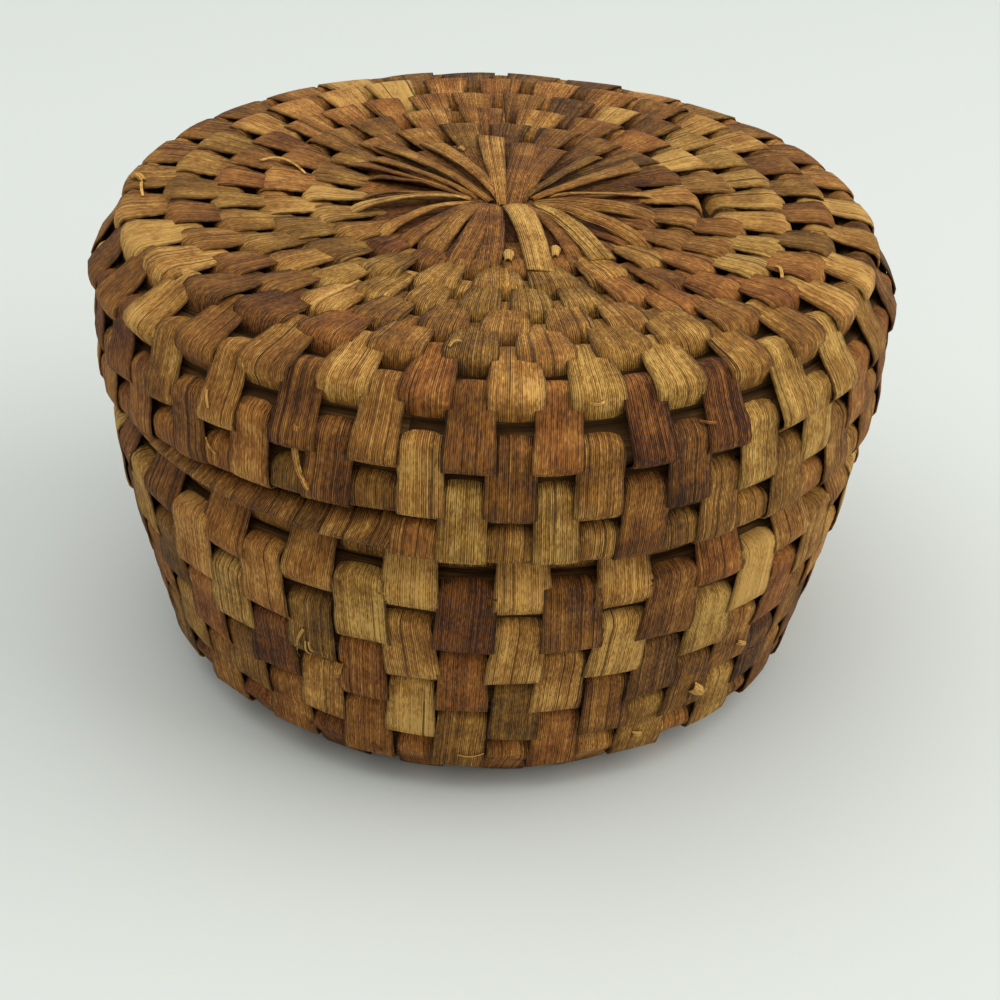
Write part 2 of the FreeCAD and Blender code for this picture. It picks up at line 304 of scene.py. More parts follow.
# The lid's star, lowest strip first: start and end in the photo, then near and far width, tone,
# roll and whether the end is tucked in
STAR_RIBBONS = [
    ((472, 197), (364, 176), 1.2, 3.6, BROWN, 24, True),
    ((468, 197), (346, 161), 1.2, 3.8, BROWN, 20, True),
    ((479, 196), (364, 154), 1.4, 4.0, TAN, 16, True),
    ((470, 199), (355, 197), 0.9, 2.2, BROWN, 24, True),
    ((491, 199), (385, 147), 1.8, 4.6, TAN, 14, False),
    ((501, 199), (431, 145), 1.5, 4.6, HONEY, 6, False),
    ((520, 200), (562, 145), 2.2, 5.0, BROWN, 0, True),
    ((512, 205), (532, 139), 3.2, 8.0, BROWN, 0, True),
    ((502, 204), (491, 137), 1.6, 5.6, HONEY, 0, False),
    ((524, 197), (601, 152), 1.5, 3.6, OLIVE, -10, True),
    ((532, 199), (636, 167), 1.5, 5.0, TAN, -8, False),
    ((546, 196), (662, 195), 1.2, 3.2, HONEY, -24, True),
    ((534, 202), (665, 219), 1.8, 4.8, TAN, 14, True),
    ((534, 204), (650, 246), 1.5, 4.2, HONEY, 18, True),
    ((525, 207), (580, 262), 1.5, 4.0, BROWN, -6, True),
    ((537, 206), (603, 261), 1.6, 4.6, GREEN_GOLD, 12, False),
    ((470, 199), (341, 212), 1.0, 3.8, PALE, 14, True),
    ((475, 204), (374, 237), 1.4, 4.0, HONEY, 14, True),
    ((476, 205), (398, 246), 1.4, 4.4, BROWN, 8, True),
    ((481, 207), (426, 255), 2.2, 6.0, TAN, 4, True),
    ((486, 207), (455, 266), 2.2, 5.4, BROWN, 4, True),
    ((492, 207), (486, 269), 3.0, 5.6, BROWN, 4, True),
    ((516, 207), (541, 272), 5.6, 4.9, PALE, 0, False),
]

# Loose fibres and chips of cane: start, bend and end in the photo, then width and tone
LID_LOOSE = [
    ((298, 424), (293, 456), (309, 489), 1.3, GOLD),
    ((208, 390), (211, 398), (209, 407), 0.4, CREAM),
    ((207, 437), (213, 444), (216, 453), 0.4, PALE),
    ((449, 348), (454, 344), (461, 343), 0.5, PALE),
    ((142, 183), (141, 190), (143, 197), 0.4, CREAM),
    ((132, 180), (138, 177), (144, 182), 1.6, PALE),
    ((260, 162), (284, 156), (306, 175), 0.5, CREAM),
    ((508, 253), (509, 257), (508, 262), 1.8, CREAM),
    ((555, 249), (556, 253), (555, 258), 1.6, PALE),
    ((459, 151), (461, 150), (464, 152), 1.0, CREAM),
    ((590, 402), (597, 404), (604, 401), 0.3, GOLD),
    ((699, 421), (708, 425), (716, 423), 0.3, RUST),
    ((776, 268), (782, 272), (782, 279), 0.5, CREAM),
]
BASE_LOOSE = [
    ((304, 628), (299, 636), (298, 644), 0.7, CREAM),
    ((306, 640), (307, 648), (312, 653), 0.5, CREAM),
    ((309, 641), (311, 647), (316, 651), 0.4, CREAM),
    ((300, 642), (298, 648), (300, 656), 0.4, PALE),
    ((322, 646), (325, 652), (324, 660), 0.5, DUSKY),
    ((340, 661), (337, 668), (339, 676), 1.8, HONEY),
    ((691, 686), (696, 687), (700, 692), 2.4, CREAM),
    ((632, 733), (636, 731), (640, 732), 1.6, CREAM),
    ((736, 641), (740, 640), (744, 643), 1.2, PALE),
    ((748, 648), (755, 643), (761, 642), 0.25, DARK),
    ((372, 742), (378, 744), (381, 750), 0.5, DUSKY),
    ((457, 754), (470, 755), (484, 753), 0.4, PALE),
]


class Profile:
    """A path in the r-z plane, read by the length along it: straights joined by arcs."""

    def __init__(self, corners):
        self.spans = []
        self.length = 0.0
        here = Vector(corners[0][:2])
        for before, corner, after in zip(corners, corners[1:], corners[2:]):
            at = Vector(corner[:2])
            way_in = (at - Vector(before[:2])).normalized()
            way_out = (Vector(after[:2]) - at).normalized()
            turn = way_in.angle(way_out)
            cut = corner[2] * math.tan(turn / 2)
            self.add_straight(here, at - way_in * cut)
            self.add_bend(at - way_in * cut, way_in, way_out, corner[2], turn)
            here = at + way_out * cut
        self.add_straight(here, Vector(corners[-1][:2]))

    def add_straight(self, start, end):
        way = (end - start).normalized()
        self.spans.append((self.length, lambda along: (start + way * along, way)))
        self.length += (end - start).length

    def add_bend(self, start, way_in, way_out, radius, turn):
        side = (way_out - way_in * way_in.dot(way_out)).normalized()

        def at(along):
            angle = along / radius
            forth = way_in * (radius * math.sin(angle))
            aside = side * (radius * (1 - math.cos(angle)))
            return start + forth + aside, way_in * math.cos(angle) + side * math.sin(angle)

        self.spans.append((self.length, at))
        self.length += radius * turn

    def at(self, along):
        """Place and direction at a length along the path."""
        start, span = [item for item in self.spans if item[0] <= max(along, 0)][-1]
        return span(along - start)


class Coil:
    """One cane wound on a profile, clockwise seen from above.

    Turns are counted from the middle. The first ones are an even spiral. The last ones are level,
    and step to the next row within an eighth of a turn each side of a whole number.
    """

    def __init__(self, body, profile, pitch, step_angle, face):
        self.body = body
        self.profile = profile
        self.pitch = pitch
        self.step_angle = step_angle
        self.face = face
        last_step = int(profile.length / pitch)
        self.shift = profile.length - pitch * (last_step + 0.5)
        self.levelled_turn = last_step - LEVEL_ROWS
        self.last_turn = last_step + 1 - STEP_TURNS / 2
        self.first_turn = 1 / QUARTERS + STEP_TURNS / 2
        while self.along(self.first_turn) < STAR_HOLE + LOOP_RADIUS:
            self.first_turn += 1 / QUARTERS

    def along(self, turns):
        """Length along the profile at a turn count."""
        step = math.floor(turns + STEP_TURNS / 2)
        rise = min((turns + STEP_TURNS / 2 - step) / STEP_TURNS, 1)
        level = step - 0.5 + eased(rise)
        stepped = held((turns - self.levelled_turn) / LEVELLING_TURNS + 1, 0, 1)
        return self.pitch * ((1 - stepped) * turns + stepped * level) + self.shift

    def centre(self, turns):
        """The cane's middle, as (r, z)."""
        return self.profile.at(self.along(turns))[0]

    def way(self, turns):
        """Direction of the profile at a turn count, as (r, z)."""
        return self.profile.at(self.along(turns))[1]

    def angle(self, turns):
        return self.step_angle - TURN * turns


def on_circle(point, angle):
    """A point of the r-z plane, in metres, at an angle round the box."""
    return Vector((point.x * math.cos(angle), point.x * math.sin(angle), point.y)) * MM


def fuller(way_out, side_out, square):
    """A direction out of a loop, stretched from the round towards a square on the shown side."""
    if side_out <= 0:
        return way_out, side_out
    power = 2 / square
    return math.copysign(abs(way_out) ** power, way_out), side_out ** power


def mixed(low, high, share):
    return low + (high - low) * share


def held(value, low, high):
    """A value kept from low to high."""
    return min(max(value, low), high)


def eased(share):
    """A share from 0 to 1 that starts and ends gently."""
    return 2 * share ** 2 if share < 0.5 else 1 - 2 * (1 - share) ** 2


def wave(place, seed, waves, size):
    """Smooth unevenness from -size to size, for a place from 0 to 1."""
    return size * noise.noise(Vector((place * waves, seed * WAVE_SEEDS[0], seed * WAVE_SEEDS[1])))


def photo_view():
    """The photo's view: its eye above the front of the box, tipped down at it."""
    high = Vector((0, -math.cos(EYE_ELEVATION), math.sin(EYE_ELEVATION)))
    eye = (high * EYE_DISTANCE + Vector((0, 0, EYE_AIM_HEIGHT))) * MM
    level_up = Vector((0, math.sin(EYE_ELEVATION), math.cos(EYE_ELEVATION)))
    forward = (-high + Vector((EYE_ASIDE, 0, 0)) + level_up * EYE_DOWN).normalized()
    level_right = forward.cross(Vector((0, 0, 1))).normalized()
    level_up = level_right.cross(forward)
    right = level_right * math.cos(EYE_ROLL) + level_up * math.sin(EYE_ROLL)
    upward = level_up * math.cos(EYE_ROLL) - level_right * math.sin(EYE_ROLL)
    return eye, right, upward, forward


def photo_place(point):
    """Where a point, in metres, lies in the photo's frame."""
    eye, right, upward, forward = photo_view()
    reach = point - eye
    scale = PHOTO_SIZE * LENS / SENSOR / reach.dot(forward)
    middle = PHOTO_SIZE / 2
    return Vector((middle + reach.dot(right) * scale, middle - reach.dot(upward) * scale))


def way_to(place):
    """Direction from the photo's eye through a place of the photo's frame."""
    right, upward, forward = photo_view()[1:]
    off = (Vector(place) / PHOTO_SIZE - Vector((0.5, 0.5))) * SENSOR / LENS
    return forward + right * off.x - upward * off.y


def on_lid(place):
    """The point of the level of the lid's top behind a place of the photo, in millimetres."""
    eye = photo_view()[0]
    way = way_to(place)
    return (eye + way * ((lid_top + LOOP_RADIUS) * MM - eye.z) / way.z) / MM


class Look:
    """How the strips of one zone lie.

    Widths are shares of half of the room that two strips side by side have, at five stations from
    the hidden near end to the hidden far end. Near is the row that was wound first, and far is the
    next one. A square of 2 is a round end, and a larger one is a fuller end.
    """

    def __init__(self, **values):
        self.__dict__.update(values)

    def blend(self, other, share):
        mine = vars(self)
        return Look(**{name: mixed(mine[name], getattr(other, name), share) for name in mine})

    def changed(self, **values):
        """The same look with some values of its own."""
        return Look(**{**vars(self), **values})

    def width(self, place):
        """Width at a place from 0, the hidden near end, to 1, the hidden far end."""
        stations = (
            self.near_tail, self.near_width, self.middle_width, self.far_width, self.far_tail,
        )
        spans = len(stations) - 1
        step = min(int(place * spans), spans - 1)
        return mixed(stations[step], stations[step + 1], place * spans - step)


LID_TOP_LOOK = Look(
    near_tail=1.15, near_width=1.24, middle_width=1.50, far_width=1.64, far_tail=1.60,
    near_lift=-0.10, far_lift=0.44, crown=0.12, near_square=2.6, far_square=2.8,
    near_corner=0.2, far_corner=0.7, dip=0.02, tilt=0.22, curl=0.08, lean=0.35,
)
LID_SIDE_LOOK = Look(
    near_tail=1.00, near_width=1.12, middle_width=1.06, far_width=1.12, far_tail=1.10,
    near_lift=-0.04, far_lift=0.38, crown=0.10, near_square=2.4, far_square=3.6,
    near_corner=0.6, far_corner=0.1, dip=0.24, tilt=0.14, curl=0.10, lean=0.05,
)
BASE_LOOK = Look(
    near_tail=1.12, near_width=1.13, middle_width=1.05, far_width=1.05, far_tail=0.95,
    near_lift=0.36, far_lift=-0.06, crown=0.06, near_square=4.5, far_square=3.0,
    near_corner=0.0, far_corner=0.4, dip=0.10, tilt=0.16, curl=0.12, lean=0.0,
)
COLLAR_LOOK = BASE_LOOK.changed(near_lift=0.0, near_square=2.0)
FLOOR_LOOK = BASE_LOOK.changed(near_lift=-0.4, far_lift=-0.6, tilt=0.05, curl=0.0)
STAR_LOOK = Look(
    near_lift=-0.5, far_lift=-0.1, crown=0.2, near_square=2.0, far_square=2.0, far_corner=0.9,
    dip=0.1, tilt=0.1, curl=0.05,
)
WRAP_LOOK = Look(
    near_tail=1.0, near_width=1.1, middle_width=1.1, far_width=1.1, far_tail=1.0,
    near_lift=0.0, far_lift=0.0, crown=0.06, near_square=2.0, far_square=2.0,
    near_corner=0.0, far_corner=0.0, dip=0.0, tilt=0.12, curl=0.03, lean=1.6,
)


class Strip:
    """One leaf strip, a closed loop round the row at a turn count and the row before it."""

    def __init__(self, coil, turns, rows, look, half_turn, tone, radius=LOOP_RADIUS):
        self.coil = coil
        self.turns = turns
        self.look = look
        self.half_turn = half_turn
        self.tone = tone
        self.seed = tone[2]
        self.radius = radius
        chance = random.Random(self.seed)
        self.lean = chance.gauss(0, LEAN_SPREAD)
        self.slip = chance.gauss(0, SLIP_SPREAD)
        self.tilt = chance.uniform(-1, 1) * look.tilt
        self.raise_by = chance.uniform(*RAISE_RANGE)
        self.width = chance.uniform(*WIDTH_RANGE)
        self.curls = [max(chance.gauss(look.curl, CURL_SPREAD), CURL_LEAST) for _ in range(4)]
        self.set_ends(turns - rows + 1, turns)

    def set_ends(self, near_turns, far_turns):
        """The cane's middle and its slope at the near and the far row, and the loop round them."""
        reach = self.half_turn
        self.ends = []
        for turns in (near_turns, far_turns):
            climb = self.coil.centre(turns + reach) - self.coil.centre(turns - reach)
            self.ends.append((self.coil.centre(turns), climb / (2 * reach)))
        between = self.ends[1][0] - self.ends[0][0]
        self.length = between.length
        self.way = between.normalized()
        if self.length < CANE_RADIUS:
            self.length = 0
            self.way = self.coil.way(far_turns)
        self.loop = 2 * self.length + TURN * self.radius

    def round_loop(self, share):
        """Where the loop is at a share of its length, from the middle of its hidden side.

        Gives the place along the way from near to far, and the way out of the loop as (way, side).
        """
        cap = math.pi * self.radius
        on = share * self.loop - self.length / 2
        if on < 0:
            return self.length + on, 0, -1
        if on < cap:
            angle = on / self.radius
            return self.length, *fuller(math.sin(angle), -math.cos(angle), self.look.far_square)
        if on < cap + self.length:
            return self.length - (on - cap), 0, 1
        if on < 2 * cap + self.length:
            angle = (on - cap - self.length) / self.radius
            return 0, *fuller(-math.sin(angle), math.cos(angle), self.look.near_square)
        return on - 2 * cap - self.length, 0, -1

    def station(self, share):
        """The shown share and the places from near to far, at a share round the loop."""
        along, way_out, side_out = self.round_loop(share)
        end = along / self.length if self.length else 0.5
        reach = CAP_SHARE * way_out * (1 if self.length else SINGLE_REACH)
        place = CAP_SHARE + (1 - 2 * CAP_SHARE) * end + reach
        return (side_out + 1) / 2, end, held(place, 0, 1)

    def spread(self, across, share):
        """How far across the strip a point lies, in half turns."""
        shown, _, place = self.station(share)
        width = mixed(HIDDEN_WIDTH, self.look.width(place), shown) * self.width
        return across * width * (1 + wave(place, self.seed + across, *STRIP_EDGE_WAVE))

    def lift(self, across, end):
        """How far the shown side stands off the loop."""
        level = mixed(self.look.near_lift, self.look.far_lift, end)
        return level + self.tilt * across + self.raise_by

    def point(self, across, share):
        """The strip's outside at a place across, from -1 to 1, and a share round its loop."""
        look = self.look
        along, way_out, side_out = self.round_loop(share)
        shown, end, place = self.station(share)
        shift = (look.lean + self.lean) * (place - 0.5) * shown + self.slip
        turns_off = self.half_turn * (self.spread(across, share) + shift)

        edge = abs(across)
        dip = look.dip * math.sin(math.pi * end) ** 2 if self.length else 0
        radius = self.radius - look.crown * edge ** 2 * shown - dip
        radius += shown * self.lift(across, end)
        curl = mixed(*self.curls[:2], end) if across < 0 else mixed(*self.curls[2:], end)
        radius += shown * curl * edge ** 3
        radius += wave(place, self.seed * FACE_SEED, *STRIP_FACE_WAVE) * shown
        corner = (look.far_corner if way_out > 0 else look.near_corner) * edge ** 3
        out_way = (radius - corner) * way_out
        out_side = radius * side_out

        near = self.ends[0][0] + self.ends[0][1] * turns_off
        side = Vector((-self.way.y, self.way.x)) * self.coil.face
        spot = near + self.way * (along + out_way) + side * out_side
        return on_circle(spot, self.coil.angle(self.turns + turns_off))

    def fibre(self, across, share):
        """Place across the leaf in millimetres; the fibres run straight, and the edges cut them."""
        return self.spread(across, share) * self.half_turn * TURN * self.ends[1][0].x


class StarStrip(Strip):
    """A strip of a star, from the middle out round the first turns of a coil."""

    def __init__(self, coil, turns, look, near_width, far_width, tone):
        self.near_width = near_width
        self.far_width = far_width
        super().__init__(coil, turns, 1, look, 0, tone)

    def set_ends(self, near_turns, far_turns):
        far = self.coil.centre(far_turns)
        self.inner_end = STAR_HOLE + STAR_INSET
        self.level = far.y
        self.length = far.x - self.inner_end
        self.loop = 2 * self.length + TURN * self.radius

    def fibre(self, across, share):
        end = self.station(share)[1]
        half = mixed(self.near_width, self.far_width, end ** STAR_TAPER) / 2 * self.width
        return across * half * (1 + wave(end, self.seed + across, *STAR_EDGE_WAVE))

    def point(self, across, share):
        look = self.look
        along, way_out, side_out = self.round_loop(share)
        shown, end = self.station(share)[:2]
        edge = abs(across)
        dip = look.dip * math.sin(math.pi * end) ** 2
        radius = self.radius - look.crown * edge ** 2 * end - dip
        radius += shown * self.lift(across, end)
        radius += wave(end, self.seed * FACE_SEED, *STAR_FACE_WAVE)
        corner = look.far_corner * edge ** 3 if way_out > 0 else 0
        angle = self.coil.angle(self.turns)
        outward = Vector((math.cos(angle), math.sin(angle), 0))
        onward = Vector((math.sin(angle), -math.cos(angle), 0))
        reach = self.inner_end + along + (radius - corner) * way_out
        spot = outward * reach + onward * self.fibre(across, share)
        spot.z = self.level + self.coil.face * radius * side_out
        return spot * MM


class TailWrap(Strip):
    """A narrow strip wound round the thin end of the lid's cane."""

    def set_ends(self, near_turns, far_turns):
        drop = Vector((0, CANE_RADIUS - tail_radius(far_turns)))
        middle = self.coil.centre(self.coil.last_turn) - drop
        self.ends = [(middle, Vector((0, 0)))] * 2
        self.length = 0
        self.way = self.coil.way(self.coil.last_turn)
        self.loop = TURN * self.radius


class Ribbon:
    """A free strip of the lid's star, over the first turns, with its end tucked in or cut."""

    def __init__(self, coil, start, end, near_width, far_width, tone, roll, tucked, order):
        self.coil = coil
        self.start = start
        self.outward = (end - start).normalized()
        self.reach = (end - start).length
        self.near_width = near_width
        self.far_width = far_width
        self.roll = math.radians(roll)
        self.tucked = tucked
        self.seed = RIBBON_SEEDS[0] * order + RIBBON_SEEDS[1]
        self.tone = (*tone, self.seed)
        self.stack = RIBBON_STACK * order
        self.bow = random.Random(order).gauss(0, RIBBON_BOW)
        self.loop = self.reach

    def half_width(self, across, share):
        half = mixed(self.near_width, self.far_width, share ** RIBBON_TAPER) / 2
        half *= 1 + wave(share, self.seed + across, *RIBBON_EDGE_WAVE)
        if self.tucked:
            half *= 1 - NARROW_BY * max(share - NARROW_FROM, 0) / (1 - NARROW_FROM)
        return half

    def fibre(self, across, share):
        return across * self.half_width(across, share)

    def point(self, across, share):
        aside = Vector((-self.outward.y, self.outward.x, 0))
        half = self.half_width(across, share)
        skew = RIBBON_SKEW * across * share ** SKEW_POWER
        arch = mixed(*RIBBON_ARCH, share ** RIBBON_TAPER) * (1 - across ** 2)
        turned = self.roll * math.sin(math.pi * share ** ROLL_TAPER)
        height = RIBBON_LIFT + self.stack * (1 - share) + arch
        height += RIBBON_BULGE * math.sin(math.pi * share)
        height += wave(share, self.seed, *RIBBON_FACE_WAVE)
        height += math.sin(turned) * (across * half + half)
        height -= HUB_DEPTH * (1 - share) ** HUB_POWER
        if self.tucked:
            height -= TUCK_DEPTH * (max(share - TUCK_FROM, 0) / (1 - TUCK_FROM)) ** 2
        sideways = across * half * math.cos(turned) + self.bow * math.sin(math.pi * share)
        place = self.start + self.outward * (share * self.reach + skew) + aside * sideways
        place.z = lid_top + LOOP_RADIUS + height
        return place * MM


class Loose:
    """A loose fibre or a chip, bent through three points that lie on the strips."""

    def __init__(self, coil, points, out, width, tone, order):
        self.coil = coil
        self.points = points
        self.out = out
        self.width = width
        self.tone = (*tone, LOOSE_SEEDS[0] * order + LOOSE_SEEDS[1])
        self.loop = (points[2] - points[0]).length / MM

    def fibre(self, across, share):
        return across * self.width / 2 * (1 - LOOSE_TAPER * share ** LOOSE_TAPER_POWER)

    def point(self, across, share):
        start, bend, end = self.points
        place = mixed(mixed(start, bend, share), mixed(bend, end, share), share)
        aside = mixed(bend - start, end - bend, share).normalized().cross(self.out)
        lift = LOOSE_LIFT * (LOOSE_REST + math.sin(math.pi * share))
        lift += LOOSE_CROWN * self.width * (1 - across ** 2)
        return place + (aside * self.fibre(across, share) + self.out * lift) * MM


def crowded(share, crowding):
    """Draws evenly spaced shares towards the middle, where the shown side of a loop is."""
    return share + crowding * math.sin(TURN * share) / TURN


def weave(name, strips, crowding=CROWDING):
    """One piece of many strips; each is a grid bent into its closed loop or its ribbon.

    The leaf layer carries each strip's tone, warmth and seed, and how near its edge a point is.
    """
    bm = bmesh.new()
    uv_layer = bm.loops.layers.uv.new("UVMap")
    leaf_layer = bm.verts.layers.float_color.new("leaf")
    for strip in strips:
        grid = bmesh.ops.create_grid(bm, x_segments=ACROSS, y_segments=AROUND, size=1)
        for vert in grid["verts"]:
            across = -strip.coil.face * vert.co.x
            share = crowded((vert.co.y + 1) / 2, crowding)
            for corner in vert.link_loops:
                corner[uv_layer].uv = (strip.fibre(across, share), share * strip.loop)
            vert[leaf_layer] = (*strip.tone, abs(across))
            vert.co = strip.point(across, share)
        seam = [vert for vert in grid["verts"] if vert.is_boundary]
        bmesh.ops.remove_doubles(bm, verts=seam, dist=MERGE_DISTANCE)
    bm.normal_update()
    return finish_piece(name, bm)


def finish_piece(name, bm):
    """A smooth object of a bmesh."""
    for face in bm.faces:
        face.smooth = True
    mesh = bpy.data.meshes.new(name)
    bm.to_mesh(mesh)
    bm.free()
    piece = bpy.data.objects.new(name, mesh)
    bpy.context.scene.collection.objects.link(piece)
    return piece


def thicken(piece, thickness):
    """Gives a leaf its thickness, inwards."""
    solid = piece.modifiers.new("thickness", "SOLIDIFY")
    solid.thickness = thickness * MM
    solid.offset = -1
    solid.use_even_offset = False


def dress(piece, coil, node, finish):
    """Puts a piece in the place of its node."""
    piece.data.materials.append(finish)
    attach(piece, coil.body)
    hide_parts(node)


def leaf_tones(count, chance, change):
    """Tone, warmth and seed for strips one after another; a leaf serves for a few of them."""
    tones = []
    while len(tones) < count:
        tone = held(chance.gauss(TONE_MIDDLE, change), *TONE_RANGE)
        warmth = held(chance.gauss(WARMTH_MIDDLE, WARMTH_SPREAD), 0, 1)
        for _ in range(chance.randint(*STRIPS_OF_A_LEAF)):
            tones.append((
                held(tone + chance.gauss(0, STRIP_TONE_SPREAD), STRIP_TONE_LEAST, 1),
                held(warmth + chance.gauss(0, STRIP_WARMTH_SPREAD), 0, 1),
                chance.random() * SEED_RANGE,
            ))
    return tones[:count]


# The base's path: floor, wall and the collar that leans in over the rim row
rim_centre = LID_RADIUS - LID_OVERHANG - LOOP_RADIUS
foot_centre = rim_centre - (RIM_HEIGHT - LOOP_RADIUS) * math.tan(WALL_LEAN)
collar_length = COLLAR_ROWS * BASE_PITCH
base_profile = Profile([
    (0, LOOP_RADIUS, 0),
    (foot_centre, LOOP_RADIUS, FOOT_BEND),
    (rim_centre, RIM_HEIGHT, RIM_BEND),
    (
        rim_centre - collar_length * math.sin(COLLAR_LEAN),
        RIM_HEIGHT + collar_length * math.cos(COLLAR_LEAN),
        0,
    ),
])

# The lid's path: top, shoulder and side, down to the rim that rests on the collar
lid_centre = LID_RADIUS - LOOP_RADIUS
seat = 2 * LOOP_RADIUS + SEAT_GAP
clear = seat - (lid_centre - rim_centre) * math.cos(COLLAR_LEAN)
lid_rim = RIM_HEIGHT + clear / math.sin(COLLAR_LEAN)
lid_top = lid_rim + LID_HEIGHT - 2 * LOOP_RADIUS
lid_profile = Profile([
    (0, lid_top, 0),
    (lid_centre, lid_top, SHOULDER_BEND),
    (lid_centre, lid_rim, 0),
])

base = Coil("base", base_profile, BASE_PITCH, BASE_STEP_ANGLE, -1)
lid = Coil("lid", lid_profile, LID_PITCH, LID_STEP_ANGLE, 1)
tail_turns = TAIL_ANGLE / TURN


def tail_radius(turns):
    """Radius of the thin end of the lid's cane."""
    share = held((turns - lid.last_turn) / tail_turns, 0, 1)
    return mixed(CANE_RADIUS, TAIL_RADIUS, share)


def lid_look(turns):
    """The lid's strips change from petals on the top to bricks on the side."""
    steep = abs(lid.way(turns - 0.5).y)
    return LID_TOP_LOOK.blend(LID_SIDE_LOOK, steep)


def base_look(turns):
    """The strips lie flat under the floor, and on the collar where the lid's rim hides them."""
    if base.along(turns) > base_profile.length - (COLLAR_ROWS - 0.5) * BASE_PITCH:
        return COLLAR_LOOK
    steep = abs(base.way(turns - 0.5).y)
    return FLOOR_LOOK.blend(BASE_LOOK, steep)


def course(coil, first, last, count, look_at, first_depth, fill_lift, change):
    """Strips from one turn to another, as (turn count, strip).

    Each binds two rows. Those of the first turn bind first_depth rows, and strips that bind one row
    fill the last one, at a lift of their own.
    """
    steps = range(int((last - first) * count))
    last_strip = first + len(steps) / count
    chance = random.Random(int(count * 10) + int(first * 10))
    tones = leaf_tones(2 * len(steps) + 1, chance, change)
    half_turn = HALF_ROOM / count
    strips = []
    for step in steps:
        turns = first + (step + 1) / count
        depth = first_depth if turns < first + 1 else 2
        strips.append((turns, Strip(coil, turns, depth, look_at(turns), half_turn, tones[step])))
    for step, tone in enumerate(tones[len(steps):]):
        turns = first + (step + 0.5) / count
        if turns > last_strip - 1 + 0.5 / count:
            look = look_at(turns).changed(near_lift=fill_lift, far_lift=fill_lift)
            strips.append((turns, Strip(coil, turns, 1, look, half_turn, tone)))
    return strips


def seen_strips(strips):
    """The strips that face the photo's eye, as (their middle's place in the photo, strip)."""
    eye = photo_view()[0]
    seen = []
    for turns, strip in strips:
        middle = strip.point(0, 0.5)
        inside = on_circle((strip.ends[0][0] + strip.ends[1][0]) / 2, strip.coil.angle(turns))
        if (eye - middle).dot(middle - inside) > 0:
            seen.append((photo_place(middle), strip))
    return seen


def note_tones(seen, notes):
    """Gives the strips at the noted places of the photo their own tone and warmth."""
    for tone, places in notes.items():
        for place in places:
            strip = min(seen, key=lambda item: (item[0] - Vector(place)).length)[1]
            strip.tone = (*tone, strip.seed)


def points_behind(places):
    """The box's points behind three places of the photo, and the way out of its surface there."""
    eye, *_, forward = photo_view()
    shown = bpy.context.evaluated_depsgraph_get()
    points = []
    for place in places:
        way = way_to(place)
        met, spot, out_there, *_ = bpy.context.scene.ray_cast(shown, eye, way)
        if met:
            reach = (spot - eye).dot(forward)
            out = out_there
        points.append(eye + way * reach)
    return points, out


def add_loose(name, coil, rows, finish):
    """The loose fibres and chips of one body, laid on its strips."""
    fibres = []
    for order, (*places, width, tone) in enumerate(rows):
        points, out = points_behind(places)
        fibres.append(Loose(coil, points, out, width, tone, order))
    piece = weave(name, fibres, 0)
    thicken(piece, LEAF_THICKNESS / 2)
    piece.data.materials.append(finish)
    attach(piece, coil.body)


def add_rows(coil, strips, places, finish):
    """One piece for each row of strips; places are (end along the profile, node name)."""
    rows = {}
    for turns, strip in strips:
        rows.setdefault(int(turns), []).append(strip)
    numbers = {}
    for row in sorted(rows):
        along = coil.pitch * (row + 0.5) + coil.shift
        name = next(place for end, place in places if along <= end)
        numbers[name] = numbers.get(name, 0) + 1
        piece = weave("%s_leaves_%d" % (name, numbers[name]), rows[row])
        thicken(piece, LEAF_THICKNESS)
        dress(piece, coil, "%s_strips_%d" % (name, numbers[name]), finish)


def add_star(coil, node, name, count, near_width, far_width, tone, finish):
    """The strips that run from the middle round the first turns."""
    chance = random.Random(count)
    strips = []
    for step in range(count):
        turns = STAR_TURNS - 1 + (step + 0.5) / count
        own_tone = (
            tone + chance.gauss(0, STRIP_TONE_SPREAD),
            chance.random(),
            chance.random() * SEED_RANGE,
        )
        strips.append(StarStrip(coil, turns, STAR_LOOK, near_width, far_width, own_tone))
    piece = weave(name, strips, 0)
    thicken(piece, LEAF_THICKNESS)
    dress(piece, coil, node, finish)


def add_ribbons(finish):
    """The lid's star, strip by strip as it lies in the photo."""
    ribbons = []
    for order, (start, end, *form) in enumerate(STAR_RIBBONS):
        ribbons.append(Ribbon(lid, on_lid(start), on_lid(end), *form, order))
    piece = weave("lid_star_ribbons", ribbons, 0)
    thicken(piece, LEAF_THICKNESS)
    piece.data.materials.append(finish)
    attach(piece, "lid")


def add_tail_wraps(finish):
    """The narrow strips round the thin end of the lid's cane."""
    half_turn = 0.5 * tail_turns / TAIL_WRAPS
    chance = random.Random(TAIL_DRAWS)
    wraps = []
    for step in range(TAIL_WRAPS):
        tone = (
            TAIL_TONE + chance.gauss(0, TAIL_TONE_SPREAD),
            WARMTH_MIDDLE + chance.gauss(0, STRIP_WARMTH_SPREAD),
            chance.random() * SEED_RANGE,
        )
        turns = lid.last_turn + (2 * step + 1) * half_turn
        radius = tail_radius(turns) + TAIL_WRAP_GAP
        wraps.append(TailWrap(lid, turns, 1, WRAP_LOOK, half_turn, tone, radius))
    piece = weave("lid_tail_leaves", wraps)
    thicken(piece, LEAF_THICKNESS)
    piece.data.materials.append(finish)
    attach(piece, "lid")


